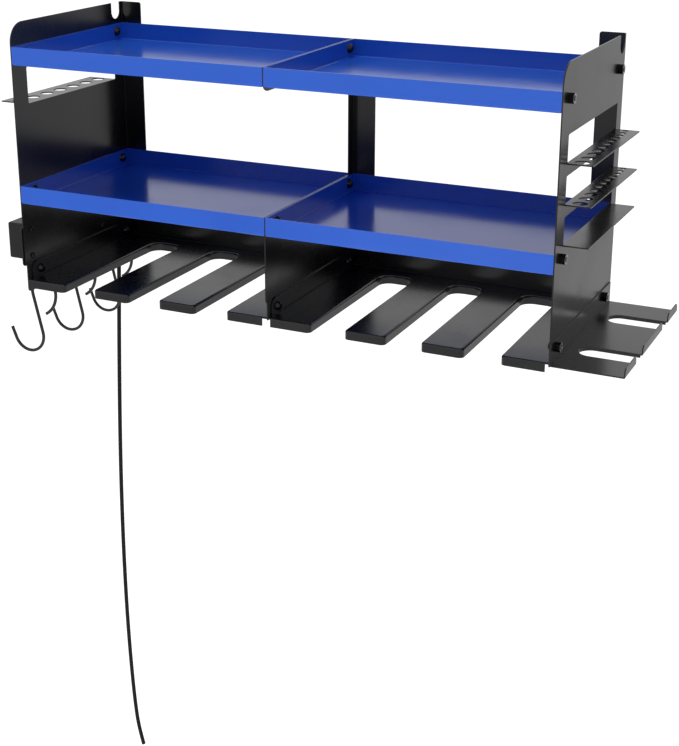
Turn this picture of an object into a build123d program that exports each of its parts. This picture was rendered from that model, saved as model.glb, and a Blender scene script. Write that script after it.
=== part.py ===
from build123d import *
import os
from math import atan2, cos, degrees, hypot, pi, radians, sqrt, tan

# Wall-mounted organizer for cordless tools, of folded sheet steel: two side panels
# and a centre panel carry four trays, two slotted tool shelves and a side tray.
# Window flaps folded out of the side panels hold bits and screwdrivers, a power
# strip sits outside the left panel, and three S-hooks hang from that panel's foot.
# Millimetres, +Z up.  The wall is the plane Y = 0 and the organizer stands out to -Y.
# X = 0 is midway between the side panels and Z = 0 midway between the two rows of
# wall screws, so the origin is the centre of the wall screw pattern.

# Overall sizes
width = 700.0  # over the outer faces of the side panels
depth = 247.0  # from the wall to the front edges
sheet = 1.5
bend = 1.0  # radius of a fold at the middle of the sheet
seat_gap = 0.3  # between a folded corner and the piece that lies in it
overrun = 2.0  # how far cuts reach past what they cut

# Heights
upper_lip = 150.0  # tops of the upper trays' walls, above the origin
tray_pitch = 175.4  # from the upper trays down to the lower ones
shelf_drop = 299.6  # from the upper trays' tops down to the tool shelves' faces
panel_rise = 28.5  # side panels above the upper trays' tops
panel_skirt = 3.4  # panels below the tool shelves' faces
hook_strip = 16.9  # left panel below the tool shelves' faces, where the hooks hang

# Panels
flange = 32.0  # width of the strips that lie on the wall
flange_corner = 3.0
foot_corner = 4.0  # lower front corner of the strip that carries the hooks
front_radius = 25.0
notch_width = 20.0
notch_centre = 15.5  # from the wall
notch_depth = 22.0
front_step = 3.5  # how far the panels' front edges stand back beside the tool shelves
step_height = 19.0  # from the shelves' faces up to that step
arm_height = 28.5  # centre panel's arm between the upper trays
arm_tip = 12.0
post_depth = 15.0
centre_drop = 1.0  # centre panel's edges below the tops of the trays' walls
step_radius = 3.0

# Wall screw holes
screw_rows = 200.0  # distance between the upper and the lower row
screw_inset = 17.0  # from a panel's face to its holes
screw_hole = 6.5

# Window racks folded out of the side panels
window_rear = 22.5
window_inset = 28.0  # from the front edges to the windows
window_corner = 2.0
rack_count = 3
rack_pitch = 45.25
window_height = 31.0
first_window_drop = 50.0  # from the upper trays' tops to the top of the first window
rack_reach = 28.15
rack_hole_rise = 13.15  # from the panel's face to the row of holes
bit_holes = 11
bit_hole_front = 17.0
bit_hole_rear = 7.5
bit_first = 10.8  # from the rack's front end to the first hole's centre
bit_last = 6.2  # from the last hole's centre to the rack's rear end
left_window_drop = 28.7
left_window_height = 45.9
left_reach = 40.7
left_holes = 7
left_hole = 17.0
left_hole_row = 20.3  # from the panel's face to the row of holes
left_hole_first = 9.9
left_hole_last = 11.1

# Trays
tray_height = 23.0
tray_sheet = 1.2
tray_bend = 2.2  # outer radius of the fold round a tray's floor
tray_bolt_drop = 10.4  # from a tray's top down to its bolts
rear_bolt = 17.0  # from the wall, on the left and centre panels
front_bolt_inset = 28.0  # from the front edges
right_rear_bolt = 24.0
right_bolt_inset = 24.0

# Tool shelves
shelf_setback = 2.0  # shelves' fronts behind the panels' front edges
shelf_flange = 21.0  # height of the shelves' side flanges over their faces
rear_flange = 25.5  # height of their flanges along the wall
side_flange_setback = 12.0  # from the front edges to the flanges
side_flange_rear = 9.0
flange_end_radius = 12.0
rim_height = 10.9  # edge turned down round the teeth and slots
rim_round = 2.5
slot_count = 3
slot_width = 44.3
slot_pitch = 95.8
slot_rear = 27.0  # closed end of the slots, from the wall
slot_radius = 15.0
tooth_radius = 6.0
left_shelf_gaps = (0.5, 6.0)  # between a shelf's front rim and the panels beside it
right_shelf_gaps = (3.5, 4.5)
shelf_bolt_rise = 8.5  # from the shelves' faces up to the left and centre panels' bolts
right_shelf_bolt_rise = 15.0
left_shelf_bolt_rear = 16.0  # from the wall
left_shelf_bolt_inset = 30.0  # from the front edges
centre_shelf_bolt_rear = 18.0
centre_shelf_bolt_inset = 27.0
right_shelf_bolt_rear = 37.0
right_shelf_bolt_inset = 18.0

# Side tray outside the right panel
side_reach = 84.6
side_overhang = 3.4  # side tray before the panels' front edges
side_rear = 5.6
side_flange_height = 24.6
side_slot_width = 30.5
side_slot_rear = 67.0  # from the wall to the rear slot's centre
side_slot_inset = 58.7  # from the front edges to the front slot's centre
side_slot_root = 31.0  # from the panel to the centre of a slot's round end
side_rim = 4.4
side_lip = 9.6
lip_bevel = 4.0

# Bolts and nuts, quarter inch
bolt_d = 6.35
bolt_hole = 7.0
head_d = 12.4
head_height = 5.2
nut_flats = 11.1
nut_height = 5.6
nut_bore = 6.6
nut_bevel = 0.6
stud_end = 0.6  # how far a bolt stands out of its nut
tip_bevel = 0.4
drive_span = 6.0  # cross recess in a bolt's head
drive_slot = 1.5
drive_depth = 2.2

# Power strip outside the left panel
strip_top_drop = 229.0  # from the upper trays' tops to the back plate's upper edge
strip_plate_height = 52.5
strip_overhang = 2.5  # back plate before the panel's front edge
strip_plate_corner = 5.0
strip_ear = 25.5  # back plate beyond each end of the housing
strip_length = 144.0
strip_height = 48.0
strip_margin = 4.0  # from the plate's upper edge to the housing
strip_out = 40.0
strip_wall = 2.0
strip_round = 2.4
strip_screw_inset = 18.5  # from a plate's end to its screws
strip_screw_rows = (6.6, 41.5)  # from the plate's upper edge
strip_screw_d = 4.0
strip_screw_hole = 4.4
strip_head_d = 7.0
strip_head_height = 2.4
strip_nut_flats = 7.0
strip_nut_height = 3.2
strip_drive_span = 3.6
strip_drive_slot = 0.9
strip_drive_depth = 1.2

# Outlets and switch on the strip's outer face
outlet_count = 3
switch_part = 37.0  # of the housing's length, at its front end
outlet_margin = 5.0  # behind the outlets' part, at the housing's rear end
outlet_web = 8.0  # housing between two outlets
outlet_height = 30.0
outlet_round = 5.0
outlet_deep = 16.0
outlet_proud = 1.0
blade_gap = 12.7
blade_slot = 1.8
blade_length = 8.0
ground_d = 4.9
ground_drop = 11.9
fit_gap = 0.3
bus_thick = 0.8
bus_width = 6.0
bus_margin = 5.0  # from each end of the outlets' part to the bars
bus_pitch = 8.0
outlet_shoulder = 1.5  # by which an outlet is wider behind the housing's wall
blade_rise = 4.0  # of the blade slots over the outlet's middle
blade_deep = 12.0
switch_centre = 20.0  # from the housing's front end
rocker_length = 17.0
rocker_width = 12.0
rocker_rise = 3.2
rocker_dish = 1.4
rocker_deep = 5.0
rocker_taper_share = 0.75
rocker_pivot = 2.0  # below the housing's outer face
rocker_pin = 2.4
rocker_tilt = 10.0  # degrees to either side of level
bezel_rim = 2.6
bezel_lip = 1.2
bezel_wall = 1.6
bezel_deep = 11.0
pin_gap = 0.05
pin_bite = 1.2  # how far the rocker's pins reach into the bezel's walls

# S-hooks, bent from round wire
hook_wire = 4.2
hook_inset = 29.0  # from the front edges to the front hook
rear_hook = 37.0  # from the wall to the rear hook
hook_hole = 7.0
hook_hole_drop = 6.6  # from the shelves' faces to the centres of the holes
loop_radius = 18.5  # upper loop, at the middle of the wire
loop_in = 5.3  # its centre, inward of the panel's outer face
loop_drop = 25.4  # its centre, below the shelves' faces
catch_radius = 23.0  # lower loop
catch_out = 23.0
catch_drop = 86.9
catch_turn = 172.0  # degrees that the lower loop turns
catch_end = 16.0
tail_radius = 33.0
tail_turn = 60.0

# Power cord and its strain relief
cord_d = 6.0
relief_base = 13.0
relief_tip = 8.4
relief_length = 24.0
relief_collar = 3.0
relief_grooves = 5
groove_round = 0.8
cord_out = 15.0  # outside the left panel's face, where the cord leaves the housing
arc_share = 0.45  # of the shorter run beside it, that each arc of the cord takes
cord_turn = 36.0  # from the wall, where the cord turns down
# Corners of the cord's course below that turn, each with its distance outside the
# left panel's face, from the wall, and below the strip's middle
cord_course = [
    (15.1, 18.7, 10.0),
    (15.3, 8.7, 27.3),
    (15.8, 8.7, 59.0),
    (18.4, 8.8, 115.0),
    (22.3, 9.0, 191.0),
    (26.0, 9.2, 273.0),
    (29.2, 9.5, 357.0),
    (31.5, 9.8, 441.0),
    (32.7, 10.0, 525.0),
    (32.8, 10.1, 609.0),
    (31.6, 10.1, 691.0),
    (28.8, 9.9, 771.0),
    (25.2, 9.6, 833.0),
    (21.0, 9.2, 874.0),
    (13.5, 8.8, 904.0),
]

# Places worked out from the sizes above
half_width = width / 2
panel_top = upper_lip + panel_rise
lower_lip = upper_lip - tray_pitch
shelf_top = upper_lip - shelf_drop
panel_foot = shelf_top - panel_skirt
hook_foot = shelf_top - hook_strip
arm_foot = upper_lip - arm_height
centre_lower_top = lower_lip - centre_drop
left_web = -half_width + sheet / 2
right_web = half_width - sheet / 2
centre_web = 0.0
left_bay = (-half_width + sheet, -sheet / 2)
right_bay = (sheet / 2, half_width - sheet)
side_bolts = (rear_bolt, depth - front_bolt_inset)
right_bolts = (right_rear_bolt, depth - right_bolt_inset)
shelf_front = depth - shelf_setback
side_flange_front = depth - side_flange_setback
shelf_bolts_left = (left_shelf_bolt_rear, depth - left_shelf_bolt_inset)
shelf_bolts_centre = (centre_shelf_bolt_rear, depth - centre_shelf_bolt_inset)
shelf_bolts_right = (right_shelf_bolt_rear, depth - right_shelf_bolt_inset)
window_front = depth - window_inset
window_length = window_front - window_rear
left_rack = upper_lip - left_window_drop - left_window_height
rack_levels = [
    upper_lip - first_window_drop - window_height - n * rack_pitch for n in range(rack_count)
]
bit_diameters = [
    bit_hole_front + (bit_hole_rear - bit_hole_front) * n / (bit_holes - 1)
    for n in range(bit_holes)
]
bit_span = window_length - bit_first - bit_last
bit_web = (bit_span - sum(bit_diameters) + (bit_hole_front + bit_hole_rear) / 2) / (bit_holes - 1)
bit_places = [-window_front + bit_first]
for near, far in zip(bit_diameters, bit_diameters[1:]):
    bit_places.append(bit_places[-1] + (near + far) / 2 + bit_web)
left_hole_pitch = (window_length - left_hole_first - left_hole_last) / (left_holes - 1)
side_front = depth + side_overhang
side_slots = (side_slot_rear, depth - side_slot_inset)
front_hook = depth - hook_inset
hook_stations = (front_hook, (front_hook + rear_hook) / 2, rear_hook)
dome_radius = ((head_d / 2) ** 2 + head_height**2) / (2 * head_height)
strip_plate_top = upper_lip - strip_top_drop
strip_plate_front = depth + strip_overhang
strip_plate_length = strip_length + strip_ear * 2
strip_plate_rear = strip_plate_front - strip_plate_length
strip_front = strip_plate_front - strip_ear
strip_rear = strip_front - strip_length
strip_middle = strip_plate_top - strip_margin - strip_height / 2
strip_back = -half_width - sheet
strip_face = strip_back - strip_out
strip_screw_places = [
    (back, strip_plate_top - drop)
    for back in (strip_plate_front - strip_screw_inset, strip_plate_rear + strip_screw_inset)
    for drop in strip_screw_rows
]
outlet_part = strip_length - switch_part - outlet_margin
outlet_pitch = outlet_part / outlet_count
outlet_length = outlet_pitch - outlet_web
outlet_first = switch_part + outlet_pitch / 2
outlet_places = [-strip_front + outlet_first + n * outlet_pitch for n in range(outlet_count)]
bus_length = outlet_part - bus_margin * 2
outlet_back = strip_face - outlet_proud + outlet_deep
switch_y = -strip_front + switch_centre
pivot_x = strip_face + rocker_pivot
rocker_slot = hypot(rocker_length / 2, rocker_rise) * 2 + fit_gap * 2
rocker_slot_width = rocker_width + fit_gap * 2
cord_x = -half_width - cord_out
cord_route = [(cord_x, relief_length - strip_rear, strip_middle), (cord_x, -cord_turn, strip_middle)]
cord_route += [
    (-half_width - out, -back, strip_middle - drop) for out, back, drop in cord_course
]


def folded(*corners):
    """Section of the sheet, folded at the corners of its middle line."""
    with BuildLine() as middle:
        FilletPolyline(*corners, radius=bend)
    with BuildSketch() as section:
        trace(middle.line, line_width=sheet)
    return section.sketch


def panel_blank(web, foot, top):
    """Panel and its wall flange, which turns to +X, or to -X on the right panel."""
    turn = -1 if web > 0 else 1
    flange_end = web + turn * (flange - sheet / 2)
    section = folded((web, -depth), (web, -sheet / 2), (flange_end, -sheet / 2))
    extrude(Plane.XY.offset(foot) * section, amount=top - foot, dir=(0, 0, 1))


def rack_flap(web, outward, reach, level):
    """Flap folded level out of its window, rising from the window's foot."""
    tip = web + outward * (reach + sheet / 2)
    root = (web, level - sheet - bend)
    section = folded(root, (web, level - sheet / 2), (tip, level - sheet / 2))
    extrude(Plane.XZ.offset(window_rear) * section, amount=window_length, dir=(0, -1, 0))


def window(foot, height):
    """Window seen from the side, as wide as the flap that was folded out of it."""
    with Locations((-window_rear - window_length / 2, foot + height / 2)):
        RectangleRounded(window_length, height, window_corner)


def wall_notch():
    """Open notch in a side panel's upper edge, beside the wall."""
    with Locations((-notch_centre, panel_top - notch_depth + notch_width / 2)):
        Circle(notch_width / 2)
        Rectangle(notch_width, notch_depth, align=(Align.CENTER, Align.MIN))


def front_relief(foot):
    """Strip that the front edge stands back by, beside the tool shelf."""
    height = shelf_top + step_height - foot + overrun
    with Locations((-depth + front_step, shelf_top + step_height)):
        Rectangle(front_step + overrun, height, align=(Align.MAX, Align.MAX))


def round_holes(places, diameter):
    """Round holes seen from the side, at pairs of a distance from the wall and a height."""
    with Locations(*[(-back, height) for back, height in places]):
        Circle(diameter / 2)


def cut_screw_holes(web):
    """Round holes for the wall screws, one in each row."""
    turn = -1 if web > 0 else 1
    hole_x = web + turn * (screw_inset - sheet / 2)
    with BuildSketch(Plane.XZ.offset(-overrun)) as holes:
        with Locations((hole_x, screw_rows / 2), (hole_x, -screw_rows / 2)):
            Circle(screw_hole / 2)
    extrude(holes.sketch, amount=sheet + overrun * 2, mode=Mode.SUBTRACT)


def front_corners(panel):
    """Corners of a panel's front edge, from the lowest to the highest."""
    return panel.edges().filter_by(Axis.X).group_by(Axis.Y)[0].sort_by(Axis.Z)


def flange_corner_edge(panel, web):
    """Free upper corner of the flange on the wall."""
    edges = panel.edges().filter_by(Axis.Y).group_by(Axis.Z)[-1].sort_by(Axis.X)
    return edges[0] if web > 0 else edges[-1]


def bolt_places(distances, level):
    """Distance from the wall and height of the bolts in one row."""
    return [(back, level) for back in distances]


left_row = bolt_places(shelf_bolts_left, shelf_top + shelf_bolt_rise)
centre_row = bolt_places(shelf_bolts_centre, shelf_top + shelf_bolt_rise)
right_row = bolt_places(shelf_bolts_right, shelf_top + right_shelf_bolt_rise)

# Left side panel, with one deep rack, the strip's screw holes and the hooks' holes
with BuildPart() as left_side_panel:
    panel_blank(left_web, hook_foot, panel_top)
    with BuildSketch(Plane.YZ.offset(left_web)):
        wall_notch()
        front_relief(hook_foot)
        window(left_rack, left_window_height)
        round_holes(bolt_places(side_bolts, upper_lip - tray_bolt_drop), bolt_hole)
        round_holes(bolt_places(side_bolts, lower_lip - tray_bolt_drop), bolt_hole)
        round_holes(left_row, bolt_hole)
        round_holes(strip_screw_places, strip_screw_hole)
        round_holes(bolt_places(hook_stations, shelf_top - hook_hole_drop), hook_hole)
    extrude(amount=sheet, both=True, mode=Mode.SUBTRACT)
    fillet(front_corners(left_side_panel)[-1], front_radius)
    fillet(front_corners(left_side_panel)[0], step_radius)
    foot_edges = left_side_panel.edges().filter_by(Axis.X).group_by(Axis.Z)[0]
    fillet(foot_edges.sort_by(Axis.Y)[0], foot_corner)
    fillet(flange_corner_edge(left_side_panel, left_web), flange_corner)
    rack_flap(left_web, -1, left_reach, left_rack)
    cut_screw_holes(left_web)
    for n in range(left_holes):
        place = -window_front + left_hole_first + n * left_hole_pitch
        with Locations((-half_width - left_hole_row, place, left_rack)):
            Hole(left_hole / 2, depth=sheet)
left_side_panel.part.label = "left_side_panel"

# Right side panel: two racks with holes that grow towards the front, and a plain one
with BuildPart() as right_side_panel:
    panel_blank(right_web, panel_foot, panel_top)
    with BuildSketch(Plane.YZ.offset(right_web)):
        wall_notch()
        for level in rack_levels:
            window(level, window_height)
        round_holes(bolt_places(right_bolts, upper_lip - tray_bolt_drop), bolt_hole)
        round_holes(bolt_places(right_bolts, lower_lip - tray_bolt_drop), bolt_hole)
        round_holes(right_row, bolt_hole)
    extrude(amount=sheet, both=True, mode=Mode.SUBTRACT)
    fillet(front_corners(right_side_panel)[-1], front_radius)
    fillet(flange_corner_edge(right_side_panel, right_web), flange_corner)
    for level in rack_levels:
        rack_flap(right_web, 1, rack_reach, level)
    cut_screw_holes(right_web)
    for level in rack_levels[:-1]:
        for place, diameter in zip(bit_places, bit_diameters):
            with Locations((half_width + rack_hole_rise, place, level)):
                Hole(diameter / 2, depth=sheet)
right_side_panel.part.label = "right_side_panel"

# Centre panel: an arm between the upper trays, a post, and a full part below
with BuildPart() as centre_panel:
    panel_blank(centre_web, panel_foot, upper_lip - centre_drop)
    with BuildSketch(Plane.YZ.offset(centre_web)):
        front_relief(panel_foot)
        with Locations((-post_depth, centre_lower_top)):
            Rectangle(depth, arm_foot - centre_lower_top, align=(Align.MAX, Align.MIN))
        round_holes(bolt_places(side_bolts, upper_lip - tray_bolt_drop), bolt_hole)
        round_holes(bolt_places(side_bolts, lower_lip - tray_bolt_drop), bolt_hole)
        round_holes(centre_row, bolt_hole)
    extrude(amount=sheet, both=True, mode=Mode.SUBTRACT)
    arm_edges = front_corners(centre_panel).filter_by_position(
        Axis.Z, arm_foot - sheet, arm_foot + sheet
    )
    fillet(arm_edges, arm_tip)
    fillet(front_corners(centre_panel)[0], step_radius)
    cut_screw_holes(centre_web)
centre_panel.part.label = "centre_panel"


def make_tray(name, bay, lip, left_bolts, right_bolts):
    """Folded tray between two panels, with bolt holes in its side walls."""
    left, right = bay
    rear = sheet + seat_gap
    with BuildPart() as tray:
        with BuildSketch(Plane.XY.offset(lip - tray_height)):
            with Locations(((left + right) / 2, -(depth + rear) / 2)):
                Rectangle(right - left, depth - rear)
        extrude(amount=tray_height)
        fillet(tray.edges().group_by(Axis.Z)[0], tray_bend)
        offset(amount=-tray_sheet, openings=tray.faces().sort_by(Axis.Z)[-1])
        for wall, bolts in ((left, left_bolts), (right, right_bolts)):
            with BuildSketch(Plane.YZ.offset(wall)):
                round_holes(bolt_places(bolts, lip - tray_bolt_drop), bolt_hole)
            extrude(amount=tray_sheet * 2, both=True, mode=Mode.SUBTRACT)
    tray.part.label = name
    return tray.part


trays = [
    make_tray("upper_left_tray", left_bay, upper_lip, side_bolts, side_bolts),
    make_tray("upper_right_tray", right_bay, upper_lip, side_bolts, right_bolts),
    make_tray("lower_left_tray", left_bay, lower_lip, side_bolts, side_bolts),
    make_tray("lower_right_tray", right_bay, lower_lip, side_bolts, right_bolts),
]


def make_tool_shelf(name, bay, gaps, left_bolts, right_bolts):
    """Slotted shelf: rims turned down round its teeth, flanges turned up at its sides
    and along the wall."""
    left, right = bay
    middle = (left + right) / 2
    span = right - left
    rear = sheet + seat_gap
    slots = [middle + (n - (slot_count - 1) / 2) * slot_pitch for n in range(slot_count)]
    underside = Plane.XY.offset(shelf_top - rim_height)
    flange_length = side_flange_front - side_flange_rear
    with BuildPart() as shelf:
        with BuildSketch(underside) as outline:
            with Locations((middle, -rear)):
                Rectangle(span, shelf_front - rear, align=(Align.CENTER, Align.MAX))
            with Locations(*[(x, -slot_rear) for x in slots]):
                Rectangle(
                    slot_width, shelf_front, align=(Align.CENTER, Align.MAX), mode=Mode.SUBTRACT
                )
            fillet(outline.vertices().group_by(Axis.Y)[0].sort_by(Axis.X)[1:-1], tooth_radius)
            roots = outline.vertices().filter_by_position(
                Axis.Y, -slot_rear - sheet, -slot_rear + sheet
            )
            fillet(roots, slot_radius)
        extrude(amount=rim_height)
        rounded = (
            shelf.edges()
            .group_by(Axis.Z)[-1]
            .filter_by_position(Axis.X, left + overrun, right - overrun)
            .filter_by_position(Axis.Y, -shelf_front - overrun, -slot_rear + overrun)
        )
        fillet(rounded, rim_round)
        with BuildSketch(underside):
            offset(outline.sketch_local, amount=-sheet)
            with Locations((left, -rear)):
                Rectangle(max(gaps[0], sheet), shelf_front, align=(Align.MIN, Align.MAX))
            with Locations((right, -rear)):
                Rectangle(max(gaps[1], sheet), shelf_front, align=(Align.MAX, Align.MAX))
            with Locations((middle, -rear)):
                Rectangle(span, slot_rear - rear - sheet, align=(Align.CENTER, Align.MAX))
        extrude(amount=rim_height - sheet, mode=Mode.SUBTRACT)
        for face, bolts in ((left, left_bolts), (right - sheet, right_bolts)):
            with BuildSketch(Plane.YZ.offset(face)) as side:
                with Locations((-(side_flange_front + side_flange_rear) / 2, shelf_top - sheet)):
                    Rectangle(
                        flange_length, shelf_flange + sheet, align=(Align.CENTER, Align.MIN)
                    )
                fillet(side.vertices().group_by(Axis.Y)[-1], flange_end_radius)
                with Locations(*[(-back, height) for back, height in bolts]):
                    Circle(bolt_hole / 2, mode=Mode.SUBTRACT)
            extrude(amount=sheet)
        with BuildSketch(Plane.XZ.offset(rear)):
            with Locations((middle, shelf_top - sheet)):
                Rectangle(span, rear_flange + sheet, align=(Align.CENTER, Align.MIN))
        extrude(amount=sheet)
    shelf.part.label = name
    return shelf.part


shelves = [
    make_tool_shelf("left_tool_shelf", left_bay, left_shelf_gaps, left_row, centre_row),
    make_tool_shelf("right_tool_shelf", right_bay, right_shelf_gaps, centre_row, right_row),
]

# Side tray: a flange against the right panel, and a plate with two slots, rims turned
# down beside them and lips turned up at the outer ends of its fingers
with BuildPart() as right_side_tray:
    flange_x = half_width + sheet / 2
    lip_x = half_width + side_reach - sheet / 2
    tray_section = folded(
        (flange_x, shelf_top + side_flange_height),
        (flange_x, shelf_top - sheet / 2),
        (lip_x, shelf_top - sheet / 2),
        (lip_x, shelf_top + side_lip),
    )
    extrude(
        Plane.XZ.offset(side_rear) * tray_section, amount=side_front - side_rear, dir=(0, -1, 0)
    )
    with BuildSketch(Plane.XY.offset(shelf_top - side_rim)):
        with Locations(*[(half_width + side_slot_root, -back) for back in side_slots]):
            Circle(side_slot_width / 2 + sheet)
            Rectangle(
                side_reach - side_slot_root - sheet * 2,
                side_slot_width + sheet * 2,
                align=(Align.MIN, Align.CENTER),
            )
    extrude(amount=side_rim - sheet / 2)
    with BuildSketch(Plane.XY.offset(shelf_top - side_rim)):
        with Locations(*[(half_width + side_slot_root, -back) for back in side_slots]):
            Circle(side_slot_width / 2)
            Rectangle(side_reach, side_slot_width, align=(Align.MIN, Align.CENTER))
    extrude(amount=side_rim + side_lip + overrun, mode=Mode.SUBTRACT)
    with BuildSketch(Plane.YZ.offset(flange_x)):
        round_holes(right_row, bolt_hole)
    extrude(amount=sheet, both=True, mode=Mode.SUBTRACT)
    lip_corners = (
        right_side_tray.edges()
        .filter_by(Axis.X)
        .filter_by_position(Axis.Z, shelf_top + side_lip - sheet / 2, shelf_top + side_lip + sheet / 2)
    )
    chamfer(lip_corners, lip_bevel)
right_side_tray.part.label = "right_side_tray"


def cross_recess(head_top, span, slot, deep):
    """Cross recess for a screwdriver in a head that faces -Z."""
    with BuildSketch() as cross:
        Rectangle(span, slot)
        Rectangle(slot, span)
    recess = Plane.XY.offset(-head_top) * cross.sketch
    extrude(recess, amount=deep, dir=(0, 0, 1), mode=Mode.SUBTRACT)


def make_bolt(grip):
    """Domed bolt with its head's seat at the origin and its tip along +Z."""
    with BuildPart() as bolt:
        with BuildSketch(Plane.XZ):
            with BuildLine():
                Line((0, 0), (head_d / 2, 0))
                RadiusArc((head_d / 2, 0), (0, -head_height), dome_radius)
                Line((0, -head_height), (0, 0))
            make_face()
        revolve(axis=Axis.Z)
        Cylinder(
            bolt_d / 2, grip + nut_height + stud_end, align=(Align.CENTER, Align.CENTER, Align.MIN)
        )
        chamfer(bolt.edges().group_by(Axis.Z)[-1], tip_bevel)
        cross_recess(head_height, drive_span, drive_slot, drive_depth)
    return bolt.part


def make_nut(flats, height, bore, bevel):
    """Hexagon nut with its seat at the origin, bevelled at its outer corners."""
    with BuildPart() as nut:
        with BuildSketch():
            RegularPolygon(flats / 2, side_count=6, major_radius=False)
            Circle(bore / 2, mode=Mode.SUBTRACT)
        extrude(amount=height)
        with BuildSketch():
            Circle(flats / 2 / cos(pi / 6) - bevel)
        extrude(amount=height, mode=Mode.INTERSECT)
    return nut.part


def seats(face, inward, places):
    """Seats on a face across X, at pairs of a distance from the wall and a height."""
    return [
        Plane(origin=(face, -back, height), z_dir=(inward, 0, 0)) for back, height in places
    ]


def tray_rows(distances):
    """Bolts of the upper and the lower trays in one panel."""
    upper = bolt_places(distances, upper_lip - tray_bolt_drop)
    return upper + bolt_places(distances, lower_lip - tray_bolt_drop)


side_grip = tray_sheet + sheet
centre_grip = tray_sheet * 2 + sheet
side_bolt = make_bolt(side_grip)
centre_bolt = make_bolt(centre_grip)
nut = make_nut(nut_flats, nut_height, nut_bore, nut_bevel)

# Bolts through the trays' side walls and the panels, heads inside the trays
with BuildPart() as tray_bolts:
    with Locations(*seats(left_bay[0] + tray_sheet, -1, tray_rows(side_bolts))):
        add(side_bolt)
    with Locations(*seats(right_bay[0] + tray_sheet, -1, tray_rows(side_bolts))):
        add(centre_bolt)
    with Locations(*seats(right_bay[1] - tray_sheet, 1, tray_rows(right_bolts))):
        add(side_bolt)
tray_bolts.part.label = "tray_bolts"

with BuildPart() as tray_nuts:
    with Locations(
        *seats(-half_width, -1, tray_rows(side_bolts)),
        *seats(left_bay[1] - tray_sheet, -1, tray_rows(side_bolts)),
        *seats(half_width, 1, tray_rows(right_bolts)),
    ):
        add(nut)
tray_nuts.part.label = "tray_nuts"

# Bolts through the tool shelves' flanges, with the side tray under the right nuts
shelf_bolt = make_bolt(sheet * 2)
long_shelf_bolt = make_bolt(sheet * 3)
with BuildPart() as shelf_bolts:
    with Locations(*seats(left_bay[0] + sheet, -1, left_row)):
        add(shelf_bolt)
    with Locations(
        *seats(right_bay[0] + sheet, -1, centre_row), *seats(right_bay[1] - sheet, 1, right_row)
    ):
        add(long_shelf_bolt)
shelf_bolts.part.label = "shelf_bolts"

with BuildPart() as shelf_nuts:
    with Locations(
        *seats(-half_width, -1, left_row),
        *seats(left_bay[1] - sheet, -1, centre_row),
        *seats(half_width + sheet, 1, right_row),
    ):
        add(nut)
shelf_nuts.part.label = "shelf_nuts"

# Power strip: back plate with an ear at each end
with BuildPart() as strip_back_plate:
    with BuildSketch(Plane.YZ.offset(strip_back)):
        with Locations(
            (-(strip_plate_front + strip_plate_rear) / 2, strip_plate_top - strip_plate_height / 2)
        ):
            RectangleRounded(strip_plate_length, strip_plate_height, strip_plate_corner)
        with Locations(*[(-back, height) for back, height in strip_screw_places]):
            Circle(strip_screw_hole / 2, mode=Mode.SUBTRACT)
    extrude(amount=sheet)
strip_back_plate.part.label = "strip_back_plate"

# Its housing is open towards the back plate and has windows for outlets and switch
with BuildPart() as strip_housing:
    with BuildSketch(Plane.YZ.offset(strip_back)):
        with Locations((-(strip_front + strip_rear) / 2, strip_middle)):
            Rectangle(strip_length, strip_height)
    extrude(amount=-strip_out)
    fillet(
        strip_housing.edges().group_by(Axis.X)[0] + strip_housing.edges().filter_by(Axis.X),
        strip_round,
    )
    with BuildSketch(Plane.YZ.offset(strip_back)):
        with Locations((-(strip_front + strip_rear) / 2, strip_middle)):
            Rectangle(strip_length - strip_wall * 2, strip_height - strip_wall * 2)
    extrude(amount=strip_wall - strip_out, mode=Mode.SUBTRACT)
    with BuildSketch(Plane.YZ.offset(strip_face)):
        with Locations(*[(y, strip_middle) for y in outlet_places]):
            RectangleRounded(outlet_length, outlet_height, outlet_round)
        with Locations((switch_y, strip_middle)):
            Rectangle(rocker_slot + bezel_wall * 2, rocker_slot_width + bezel_wall * 2)
    extrude(amount=strip_wall, mode=Mode.SUBTRACT)
strip_housing.part.label = "strip_housing"

# Outlets: each fills a window of the housing, with a shoulder behind the wall, two
# blade slots and a ground hole
with BuildPart() as outlet_inserts:
    with BuildSketch(Plane.YZ.offset(strip_face - outlet_proud)):
        with Locations(*[(y, strip_middle) for y in outlet_places]):
            RectangleRounded(
                outlet_length - fit_gap, outlet_height - fit_gap, outlet_round - fit_gap / 2
            )
    extrude(amount=outlet_deep)
    with BuildSketch(Plane.YZ.offset(strip_face + strip_wall)):
        with Locations(*[(y, strip_middle) for y in outlet_places]):
            RectangleRounded(
                outlet_length + outlet_shoulder * 2,
                outlet_height + outlet_shoulder * 2,
                outlet_round + outlet_shoulder,
            )
    extrude(amount=strip_wall)
    with BuildSketch(Plane.YZ.offset(strip_face - outlet_proud)):
        with Locations(*[(y, strip_middle + blade_rise) for y in outlet_places]):
            with Locations((-blade_gap / 2, 0), (blade_gap / 2, 0)):
                Rectangle(blade_slot, blade_length)
            with Locations((0, -ground_drop)):
                Circle(ground_d / 2)
    extrude(amount=blade_deep, mode=Mode.SUBTRACT)
outlet_inserts.part.label = "outlet_inserts"

# Contact bars along the backs of the outlets
with BuildPart() as bus_bars:
    with BuildSketch(Plane.YZ.offset(outlet_back)):
        with Locations(
            *[(outlet_places[outlet_count // 2], strip_middle + n * bus_pitch) for n in (-1, 0, 1)]
        ):
            Rectangle(bus_length, bus_width)
    extrude(amount=bus_thick)
bus_bars.part.label = "bus_bars"

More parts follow.
